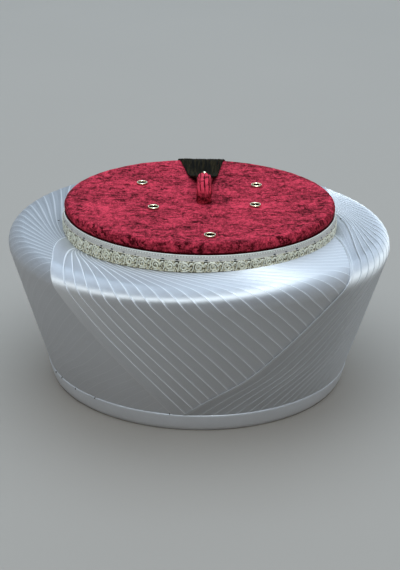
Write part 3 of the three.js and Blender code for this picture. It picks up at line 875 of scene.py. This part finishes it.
# %% Front lines
FAN_EASE, LEAST_ROOM = 5, 0.15
FAN_ALONG = [0, 5, 9, 14, 18, 22, 27, 32, 38, 45, 60, 140]
FAN_PLEAT = [0, 1, 2, 3, 4, 6, 8, 10, 12, 14, 16, 18, 20, 22]
FAN_DEG = [
    [6.0, 2.5, -1.2, -4.0, -6.2, -8.0, -8.0, -6.0, -4.5, -2.8, 0.2, 4.0, 8.4, 10.2],
    [5.0, 1.9, -0.8, -2.9, -4.4, -5.0, -4.2, -2.2, -1.0, 0.2, 2.2, 5.0, 8.4, 9.6],
    [4.0, 2.2, 1.5, 0.9, 0.5, 0.1, 0.7, 1.8, 2.4, 2.9, 3.9, 5.6, 8.3, 9.0],
    [2.8, 2.2, 1.9, 1.7, 1.5, 1.1, 1.1, 1.7, 2.6, 3.3, 4.2, 5.6, 7.6, 8.2],
    [1.9, 1.6, 1.5, 1.4, 1.4, 1.1, 1.1, 1.5, 2.2, 3.0, 3.9, 5.1, 6.8, 7.4],
    [0.8, 0.7, 0.7, 0.7, 0.7, 0.5, 0.5, 0.8, 1.4, 2.3, 3.2, 4.3, 5.7, 6.2],
    [-0.3, -0.4, -0.4, -0.4, -0.3, -0.4, -0.3, 0.0, 0.6, 1.4, 2.3, 3.4, 4.6, 5.0],
    [-0.8, -0.9, -0.9, -0.8, -0.7, -0.7, -0.4, 0.1, 0.7, 1.4, 2.2, 3.3, 4.3, 4.8],
    [-0.9, -0.9, -0.8, -0.6, -0.4, -0.2, 0.3, 0.9, 1.5, 2.1, 2.9, 3.9, 4.9, 5.4],
    [-0.8, -0.7, -0.4, -0.1, 0.3, 0.7, 1.3, 2.0, 2.7, 3.4, 4.2, 5.1, 6.0, 6.5],
    [-0.9, -0.6, -0.2, 0.2, 0.6, 1.3, 2.2, 3.3, 4.3, 5.0, 5.8, 6.5, 7.2, 7.6],
    [-0.9, -0.6, -0.2, 0.2, 0.6, 1.3, 2.2, 3.3, 4.3, 5.0, 5.8, 6.5, 7.2, 7.6],
]
fan_knots = np.stack([smooth(rows, FAN_ALONG, column) for column in np.array(FAN_DEG).T], 1)
near = np.exp(-(((rows[:, None] - rows) / FAN_EASE) ** 2))
fan_knots = near / near.sum(1)[:, None] @ fan_knots


def fan_turn(pleat):
    """Extra turn in degrees, a row for each distance along and a column for each pleat number."""
    return np.array([np.interp(pleat, FAN_PLEAT, knots) for knots in fan_knots])


def front_lines(turn, slide):
    """Angle (deg) and distance along (mm) at every row and column."""
    along = np.repeat(rows[:, None], turn.size, 1)
    pleat = (turn - BORDER_DEG) / FRONT_PITCH
    fan = fan_turn(pleat) * np.minimum(turn / BORDER_DEG, 1)
    room = np.clip(1 + (fan_turn(pleat + 0.5) - fan_turn(pleat - 0.5)) / FRONT_PITCH, LEAST_ROOM, 1)
    own = own_edge(along, "front")
    return own + turn + fan + np.degrees(slide * room / outline(along)[0]), along


print(f"fan: from {min(map(min, FAN_DEG))} to {max(map(max, FAN_DEG))} degrees")

# %% [markdown]
# ## Lines of a side panel
# A side panel's pleats come up over the shoulder and then bend round, so that they run nearly level with the crown
# until they pass under the next panel. Each line starts at its place on the rim and falls off towards its own
# level, as a branch bends under its weight.

# %% Side lines
RIM = LEDGE + 2
LEDGE_ROWS, ROW_SPREAD = 34, 1.6
FALL_DEG, LONGEST_DEG, TRIES = 16, 110, 441
RIGHT_LEVEL = [0, 6.2, 11, 16, 24, 39, 79], [-8, 4, 6.2, 8, 8.5, 9.5, 16]
LEFT_LEVEL = [0, 8, 23.6, 35, 50, 60, 69, 79], [-8, -1, 4, 5.7, 7.3, 9.5, 13, 16]
LEFT_START_DEG = -14
OVERLAP_DEG = 1.6


def under_edge(along, edge):
    """The angle at which a panel ends below its right-hand neighbour."""
    return own_edge(along, edge) + (180 if edge == "front" else 0) + OVERLAP_DEG


def side_lines(turn, slide, levels):
    """The same as front_lines, for a side panel whose lines fall off to the given levels."""
    own_rim = float(own_edge(np.array(RIM), "side"))
    lean = np.degrees(slide / float(outline(np.array(RIM))[0]))
    level, first = np.interp(turn, *levels), levels[1][0]
    near_edge = np.clip(1 - turn / BORDER_DEG, 0, 1)

    def path(bend):
        along = level + (RIM - level) * np.exp(-bend / FALL_DEG)
        plain = own_rim + FALL_DEG * np.log((RIM - first) / (along - first))
        return own_rim + turn + lean + bend + (own_edge(along, "side") - plain) * near_edge, along

    tries = np.repeat(np.linspace(0, LONGEST_DEG, TRIES)[:, None], turn.size, 1)
    angle, along = path(tries)
    meets = (angle >= under_edge(along, "front")) | (along <= rows[0])
    end = tries[np.where(meets.any(0), meets.argmax(0), -1), 0]
    ledge_angle, ledge_along = path(np.linspace(1, 0, LEDGE_ROWS)[:, None] ** ROW_SPREAD * end)
    wall = np.repeat(rows[rows > RIM][:, None], turn.size, 1)
    wall_angle = own_edge(wall, "side") + turn + np.degrees(slide / outline(wall)[0])
    return np.concatenate([ledge_angle, wall_angle]), np.concatenate([ledge_along, wall])


def right_lines(turn, slide):
    return side_lines(turn, slide, RIGHT_LEVEL)


def left_lines(turn, slide):
    return side_lines(turn + LEFT_START_DEG, slide, LEFT_LEVEL)


print("side rows:", LEDGE_ROWS + (rows > RIM).sum())

# %% [markdown]
# ## Winding a panel
# Each panel starts as a flat grid with a column for every fold line and a row for every step along the outline.
# Its points are then moved to their places in code, because pressed pleats keep their shape and a cloth
# simulation would only iron them out. Where a panel passes under its neighbour its columns are gathered on the
# neighbour's edge and merged, so no loose cloth is left behind. Crowded pleats at a panel's right end scatter the
# gloss, and the first strips just below the shoulder get a painted sheen, as in the picture.

# %% Panel
THREADS_ROUND = {"front": (-35.7, 1.3, 0.541), "side": (-44.5, -8.2, 0.799)}
WIDE_ROOM, SAG_REACH, LAP, HARD_PLEATS, DULLED = 5, 8, 3, 5, 0.9
FADE_MM, WALL_FOLD, TUCKED_LIFT, MM_A_DEGREE = 16, 0.45, 0.3, 2.0
WAVER_DEG, WAVER_LONG = 0.12, 45
TUCK_REACH, TUCK_DEPTH, TUCK_PUCKERS = 3, 0.8, 5
GLOW_START, GLOW_RAMP, GLOW_REACH, GLOW_PLEATS = 0.6, 4, 20, 2
MERGE_MM, SLIVER_MM = 0.004, 0.002
THREAD_SPACE, THREAD_MIDDLE = 150, 60


def on_outline(angle, along, rise=0.0):
    """Points in mm at an angle, a distance along the outline and a rise off it."""
    r, z, out_r, out_z = outline(along)
    z = z + np.interp((angle + 180) % 360 - 180, SAG_DEG, SAG_MM) * np.exp(-np.maximum(along, 0) / SAG_REACH)
    t = np.radians(angle)
    return np.stack([(r + out_r * rise) * np.cos(t), (r + out_r * rise) * np.sin(t), z + out_z * rise], -1)


def room_between(lines, turn, pitch):
    """The distance in mm from pleat to pleat, square to the lines, and how far the lines run round, 0 to 1."""
    here, there = (on_outline(*lines(turn + step, 0 * turn)) for step in (0, 0.1 * pitch))
    run = np.gradient(here, axis=0)
    run /= np.maximum(np.linalg.norm(run, axis=2), 1e-6)[..., None]
    out = here[..., :2] / np.linalg.norm(here[..., :2], axis=2)[..., None]
    round_share = np.abs(run[..., 1] * out[..., 0] - run[..., 0] * out[..., 1])
    return np.linalg.norm(np.cross(there - here, run), axis=2) * 10, round_share


def tuck(angle, along, at):
    """A dimple with puckers round it, where a stitch pulls the cloth down."""
    right, out = np.radians(angle - at[0]) * outline(along)[0], along - at[1]
    reach = np.hypot(right, out) / TUCK_REACH
    pucker = 0.5 * np.cos(TUCK_PUCKERS * np.arctan2(out, right)) * reach
    return (pucker - TUCK_DEPTH) * np.exp(-(reach**2))


def lay_grid(points):
    """A flat grid whose points are moved to these, with the row and the column of each."""
    alone()
    last_row, last_column = points.shape[0] - 1, points.shape[1] - 1
    bpy.ops.mesh.primitive_grid_add(x_subdivisions=last_column, y_subdivisions=last_row, size=2)
    panel = bpy.context.object
    grid = points_of(panel) * MM
    column = np.rint((grid[:, 0] + 1) / 2 * last_column).astype(int)
    row = np.rint((1 - grid[:, 1]) / 2 * last_row).astype(int)
    set_points(panel, points[row, column])
    return panel, row, column


def clean_panel(panel):
    """Merge what was gathered on an edge."""
    open_edit(panel)
    bpy.ops.mesh.remove_doubles(threshold=MERGE_MM * MM)
    bpy.ops.mesh.dissolve_degenerate(threshold=SLIVER_MM * MM)
    bpy.ops.mesh.delete_loose()
    bpy.ops.object.mode_set(mode="OBJECT")
    bpy.ops.object.shade_smooth()


# %% Winding
def wind_panel(
    name,
    node,
    lines,
    columns,
    pitch,
    finish,
    relief,  # height of the pleats on the ledge and on the wall
    press,  # strength of their painted highlight lines, the same way
    hard=0,  # extra strength of the first lines
    dull=None,  # angles between which the ledge loses its gloss
    painted_sheen=0,  # strength of the painted sheen on the first strips below the shoulder
    fade=0.33,  # where the wall's values start, in shares of the shoulder
    half_turn=False,
    under_left=False,  # ends below the left panel too
    end=0,
    crest=0,
    tucks=(),
):
    turn, slide, lift, pleat, painted_highlight = columns
    sort, neighbour = ("front", "side") if lines is front_lines else ("side", "front")
    angle, along = lines(turn, slide)
    room, round_share = room_between(lines, turn, pitch)
    down = np.clip((along - LEDGE - fade * ARC) / FADE_MM, 0, 1)
    relief, press = (a + (b - a) * down for a, b in (relief, press))
    press = np.clip(press * (1 + hard * np.exp(-np.maximum(pleat, 0) / HARD_PLEATS)), 0, 1)
    line_room = room / (1 + LAP * round_share**4 * (1 - down))
    share = np.clip(smooth(along, EDGE_ALONG, PLEAT_SHARE), 0.05, 1)
    share = np.where(pleat >= 0, share * np.clip(room / WIDE_ROOM, 0.1, 1) ** 0.5 * relief, share)
    waver = np.array([[noise.noise((k * 7.3, s / WAVER_LONG, 3)) for k in pleat] for s in along[:, 0]])
    angle = angle + WAVER_DEG * waver * (turn > 0)
    limit = under_edge(along, neighbour) + end
    if under_left:
        limit = np.minimum(limit, under_edge(along, "side") + 180 + LEFT_START_DEG)
    past = angle > limit
    angle = np.where(past, limit, angle)
    rise = np.where(past, TUCKED_LIFT, lift) * share + sum(tuck(angle, along, at) for at in tucks)
    panel, row, column = lay_grid(on_outline(angle + (180 if half_turn else 0), along, rise))

    shine = np.ones_like(angle)
    if dull:
        shine -= DULLED * (1 - down) * np.clip((angle - dull[0]) / (dull[1] - dull[0]), 0, 1)
    below = np.maximum(along - LEDGE - GLOW_START * ARC, 0)
    pale = np.exp(-np.maximum(pleat, 0) / GLOW_PLEATS - below / GLOW_REACH) * np.clip(below / GLOW_RAMP, 0, 1)
    painted_highlight = 1 - (1 - painted_highlight * (1 - (1 - WALL_FOLD) * down)) * (1 - painted_sheen * pale)
    for title, value in {"painted_highlight": painted_highlight, "press": press, "wall": down, "shine": shine}.items():
        trait = panel.data.attributes.new(title, "FLOAT", "POINT")
        trait.data.foreach_set("value", value[row, column].astype(np.float32))

    across = np.cumsum(np.hypot(np.diff(turn, prepend=0) * MM_A_DEGREE, np.diff(lift, prepend=0)))
    number = (turn - BORDER_DEG + np.degrees(slide / outline(along)[0])) / pitch - crest
    number = np.maximum(number, -0.5)
    panel.data.uv_layers[0].name = "cloth"
    write_map(panel, "cloth", across[column], along[row, column])
    write_map(panel, "pleat", number[row, column], line_room[row, column])
    clean_panel(panel)

    x, y, squash = THREADS_ROUND[sort]
    flip = -MM if half_turn else MM
    panel.data.use_auto_texspace = False
    panel.data.texspace_location = (x * flip, y * flip, THREAD_MIDDLE * MM)
    panel.data.texspace_size = (THREAD_SPACE * MM, THREAD_SPACE / squash * MM, THREAD_SPACE * MM)
    keep(panel, name, finish, "satin", node)
    return panel


LONG = {"relief": (0.7, 0.8), "press": (0.9, 0.5), "hard": 1.2, "dull": (-70, -46), "painted_sheen": 0.7}
RIGHT = {"relief": (0.6, 0.6), "press": (0.6, 0.6), "tucks": [(5.7, 4.7)], "under_left": True}
LEFT = {"relief": (1.0, 0.4), "press": (1.0, 0.2), "tucks": [(1.6, 3.0)], "crest": 0.5, "fade": 0}
LEFT["half_turn"] = True
front = wind_panel("satin_front", "wrap_front", front_lines, front_columns, FRONT_PITCH, satin_front, **LONG)
right = wind_panel("satin_right", "wrap_right", right_lines, right_columns, RIGHT_PITCH, satin_side, **RIGHT)
left = wind_panel("satin_left", "wrap_left", left_lines, left_columns, LEFT_PITCH, satin_soft, **LEFT)
BACK = {**LONG, "half_turn": True, "end": LEFT_START_DEG}
back = wind_panel("satin_back", "wrap_back", front_lines, front_columns, FRONT_PITCH, satin_front, **BACK)

# %% [markdown]
# ## Hem
# The lower edge of the wrap is bound with a strip of the same satin, folded round the foot. It is spun as an open
# strip that comes up behind, and small puckers are pressed in where the stitches pull it.

# %% Hem
HEM_TOP, HEM_PROUD, HEM_INNER, HEM_MIDDLE = 12.6, 0.6, 93.9, 100
HEM_FACE, FACE_SOFT, FOOT_SOFT = 99, 2, 3
PUCKERS = [(0.22, (4.5, 9, 1), 0), (0.2, (19, 15, 1), 3)]


def wall_radius(height):
    r, z, out_r, out_z = (float(v) for v in outline(np.array(LEDGE + ARC)))
    return r + (z - height) / out_r * out_z


def hem_radius(height):
    return wall_radius(height) + HEM_PROUD


hem_profile = [
    (wall_radius(HEM_TOP) - 2.4, HEM_TOP - 0.6),
    (wall_radius(HEM_TOP) - 0.8, HEM_TOP + 0.25),
    (hem_radius(HEM_TOP) - 0.5, HEM_TOP + 0.15),
    (hem_radius(HEM_TOP) - 0.1, HEM_TOP - 0.4),
    *[(hem_radius(z) + 0.25 * math.sin(math.pi * z / HEM_TOP), z) for z in np.linspace(HEM_TOP - 1.4, 1.6, 8)],
    *arc(hem_radius(0) - 1.3, 1.3, 1.3, 0, -90, 4),
    (98, 0),
    (HEM_INNER + 0.8, 0),
    (HEM_INNER, 0.8),
    (HEM_INNER, HEM_TOP - 1.5),
]
hem = turned(hem_profile, 360)
p = points_of(hem)
radius = np.hypot(p[:, 0], p[:, 1])
outer = np.clip((radius - HEM_FACE) / FACE_SOFT, 0, 1) * np.clip(p[:, 2] / FOOT_SOFT, 0, 1)
around = np.arctan2(p[:, 1], p[:, 0]) * HEM_MIDDLE
pucker = ripples(np.stack([around, p[:, 2], 0 * around], 1), PUCKERS)
p[:, :2] *= (1 + pucker * outer / radius)[:, None]
set_points(hem, p)
write_map(hem, "cloth", p[:, 2], around)
binding = Finish("satin_binding")
cloth = binding.place("cloth")
weave = binding.cloud(cloth, (2.5, 0.5, 1), 3.0)
shade = binding.cloud(cloth, (0.1, 0.06, 1), 2.0)
binding_look = binding.shade(
    Base_Color=binding.blend(weave * 0.5 + shade * 0.5, (0.66, 0.68, 0.71, 1), (0.8, 0.82, 0.85, 1)),
    Metallic=0.15,
    Roughness=0.42 + weave * 0.1,
    Normal=binding.bump(weave, 0.05),
)
keep(hem, "hem_binding", binding_look, "satin", "hem_band")

# %% [markdown]
# ## Stalk
# A tube of the same velvet, lightly stuffed, stands up from the crown and bends back. It is a circle extruded
# from station to station along its path, with the rings then set square to the path and creased lengthwise.

# %% Stalk
STALK_X, STALK_RADIUS, STALK_SUNK = 3, 5.2, 0.3
STALK_FOOT = crown_height(2 * STALK_RADIUS) + STALK_SUNK
STALK = [(-3.8, 0), (-3.7, 4.2), (0, 8.2), (6.5, 9.7), (14.9, 9.9)]
STATIONS, SIDES = 44, 48
FLARE, FLARE_FADE, NECK, NECK_AT, NECK_LONG = 0.35, 22, 0.2, 0.2, 0.12
CREASES = [(0.65, 1.7, 1.8, 0), (0.585, 3.4, 3, 9)]  # depth, waves round and along, seed
knots = np.linspace(0, 1, len(STALK))
steps = np.linspace(0, 1, STATIONS)
path = np.stack([smooth(steps, knots, [point[k] for point in STALK]) for k in (0, 1)], 1)
heading = np.gradient(path, axis=0)
heading /= np.linalg.norm(heading, axis=1)[:, None]

alone()
bpy.ops.mesh.primitive_circle_add(vertices=SIDES, radius=STALK_RADIUS * MM, fill_type="NOTHING")
stalk = bpy.context.object
bpy.ops.object.mode_set(mode="EDIT")
for _ in range(STATIONS - 1):
    bpy.ops.mesh.extrude_region_move(TRANSFORM_OT_translate={"value": (0, 0, MM)})
bpy.ops.mesh.edge_face_add()
bpy.ops.object.mode_set(mode="OBJECT")
p = points_of(stalk)
station = np.rint(p[:, 2]).astype(int)
turn = np.arctan2(p[:, 1], p[:, 0])
length = steps[station]
flare = FLARE * np.exp(-length * FLARE_FADE)
flare -= NECK * np.exp(-(((length - NECK_AT) / NECK_LONG) ** 2))
tube = [(math.cos(t), math.sin(t), s) for t, s in zip(turn, length)]
size = STALK_RADIUS + flare
for depth, wide, tall, seed in CREASES:
    size += depth * np.array([noise.noise((x * wide, y * wide, s * tall + seed)) for x, y, s in tube])
ahead, up = heading[station].T
middle = path[station]
side, above = size * np.cos(turn), size * np.sin(turn)
p = np.stack([STALK_X + side, middle[:, 0] - above * up, STALK_FOOT + middle[:, 1] + above * ahead], 1)
p[:, 2] = np.maximum(p[:, 2], STALK_FOOT - STALK_SUNK)
set_points(stalk, p)
write_round_map(stalk, "tube", turn / (2 * math.pi), length)
open_edit(stalk)
bpy.ops.mesh.normals_make_consistent(inside=False)
alone(stalk)
bpy.ops.object.shade_smooth()
keep(stalk, "velvet_stalk", velvet_finish("stalk_velvet", tube=True), "velvet", "crown_stem")

# %% [markdown]
# ## Tassel
# The tassel is a few hundred dark threads tied at the stalk's end. They fan out over the crown, go over its back
# edge and lie on the ledge. Each thread is one spline of a curve with a round bevel, made a mesh at the end.

# %% Thread finish
thread = Finish("olive_thread")
spot = thread.place()
strand = thread.cloud(spot, (900, 60, 200), 2.0)
thread_colour = thread.blend(strand.between(0.3, 0.75), srgb(9, 7, 3), srgb(46, 38, 18))
thread_look = thread.shade(
    Base_Color=thread_colour, Roughness=0.85, Normal=thread.bump(strand, 0.05), Specular_IOR_Level=0.05
)

# %% Tassel
TASSEL_BACK = [15.2, 19, 25, 36, 50, 72, 89, 93.6, 96.6, 98.9, 104, 119]
TASSEL_UP = [135.4, 135.6, 135, 131.4, 127.5, 127.3, 127.75, 126.9, 123, 116.6, 112, 111.5]
TASSEL_WIDE = [8, 11.5, 11, 14, 20, 27, 33, 35, 36.5, 38, 40, 43]
TASSEL_THICK = [4.6, 5.4, 4.2, 3.2, 2.2, 1.4, 1.0, 1.1, 1.6, 1.8, 1.9, 1.9]
THREADS, THREAD_POINTS, THREAD_RADIUS = 300, 26, 0.3
RAGGED, ROUNDED, STRAY, STRAY_START, OVAL = 0.03, 0.05, 0.6, 30, 0.8
TABLES = (TASSEL_BACK, TASSEL_UP, TASSEL_WIDE, TASSEL_THICK)

draw = random.Random(7)
rows_along = np.concatenate([[0], np.cumsum(np.hypot(np.diff(TASSEL_BACK), np.diff(TASSEL_UP)))])
tassel = round_curve(THREAD_RADIUS, 0)
for _ in range(THREADS):
    across = draw.uniform(-1, 1)
    depth = draw.uniform(-1, 1) * math.sqrt(max(1 - OVAL * across * across, 0))
    end = rows_along[-1] * (1 - RAGGED * draw.random() - ROUNDED * across * across)
    where = np.linspace(0, end, THREAD_POINTS)
    back, up, wide, thick = (smooth(where, rows_along, table) for table in TABLES)
    stray = draw.uniform(-STRAY, STRAY) * np.sin(where / end * math.pi * draw.uniform(0.6, 1.6))
    x = STALK_X * (1 - where / rows_along[-1]) + across * (wide / 2 - THREAD_RADIUS)
    x = x + stray * np.clip(where / STRAY_START, 0, 1)
    slope = np.gradient(up, back)
    tilt = 1 / np.hypot(1, slope)
    offset = depth * (thick / 2 - THREAD_RADIUS)
    spline = tassel.data.splines.new("POLY")
    spline.points.add(THREAD_POINTS - 1)
    weight = np.full(THREAD_POINTS, 1 / MM)
    coordinates = np.stack([x, back - offset * slope * tilt, up + offset * tilt, weight], 1)
    spline.points.foreach_set("co", (coordinates * MM).astype(np.float32).ravel())
alone(tassel)
bpy.ops.object.convert(target="MESH")
tassel = bpy.context.object
bpy.ops.object.shade_smooth()
keep(tassel, "thread_tassel", thread_look, "thread", "tassel")

# %% [markdown]
# ## Bead
# A small bright stud sits where the tassel is tied: a dome on a narrow collar, spun like the eyelets.

# %% Bead
BEAD_AT = [STALK_X, 19, 139.1]
bead_profile = [
    (0, -1.2),
    (0.9, -1.15),
    (1.15, -0.7),
    (1.1, -0.35),
    *[(1.3 * math.cos(t), 0.1 + 1.2 * math.sin(t)) for t in np.linspace(-0.1, math.pi / 2, 9)],
]
bead = turned(bead_profile, 28)
set_points(bead, points_of(bead) + BEAD_AT)
keep(bead, "brass_bead", metal_look, "metal", "tassel_bead")

# %% [markdown]
# ## Hand stitches
# Short stitches of dark thread hold the hem and the panel ends. One is a small round bar with rounded ends, copied
# to each place and turned to lie along the surface.

# %% Hand stitches
STITCH_LENGTH, STITCH_RADIUS, HEM_STITCH_PROUD, LEDGE_STITCH_PROUD = 1.3, 0.26, 0.05, 1.0
HEM_STITCHES_DEG = [-156.1, -150.2, -140.2, -129.5, -99.5, 24, 40, 51, 80]
LEDGE_STITCHES = [(-178.4, 3.0), (5.7, 4.7)]


def stitch(at, lean):
    """A bar of thread at a place in mm, lying along the direction lean."""
    alone()
    turn = Vector(lean).to_track_quat("Z", "Y").to_euler()
    spot = [v * MM for v in at]
    size = {"radius": STITCH_RADIUS * MM, "depth": STITCH_LENGTH * MM}
    bpy.ops.mesh.primitive_cylinder_add(vertices=8, location=spot, rotation=turn, **size)
    bar = bpy.context.object
    bevel = bar.modifiers.new("round", "BEVEL")
    bevel.width, bevel.segments = 0.7 * STITCH_RADIUS * MM, 2
    bpy.ops.object.modifier_apply(modifier=bevel.name)
    bpy.ops.object.transform_apply(location=True, rotation=True, scale=True)
    return bar


draw = random.Random(3)
bars = []
for angle in HEM_STITCHES_DEG:
    t = math.radians(angle)
    height = HEM_TOP + draw.uniform(-0.6, 0.8)
    r = hem_radius(HEM_TOP) + HEM_STITCH_PROUD
    lean = (-math.sin(t) * draw.uniform(-0.5, 0.5), math.cos(t) * draw.uniform(-0.5, 0.5), 1)
    bars.append(stitch((r * math.cos(t), r * math.sin(t), height), lean))
for angle, along in LEDGE_STITCHES:
    t = math.radians(angle)
    r, z, _, _ = (float(v) for v in outline(np.array(along)))
    place = (r * math.cos(t), r * math.sin(t), z + LEDGE_STITCH_PROUD)
    bars.append(stitch(place, (math.cos(t), math.sin(t), 0.1)))
stitches = joined(bars)
bpy.ops.object.shade_smooth()
keep(stitches, "hand_stitches", thread_look, "thread")

# %% [markdown]
# ## Size and finish
# At the end the view layer is brought up to date. The visual model has to stay inside the solids' box, apart from
# the little that cloth may stand proud.

# %% Size and finish
bpy.context.view_layer.update()
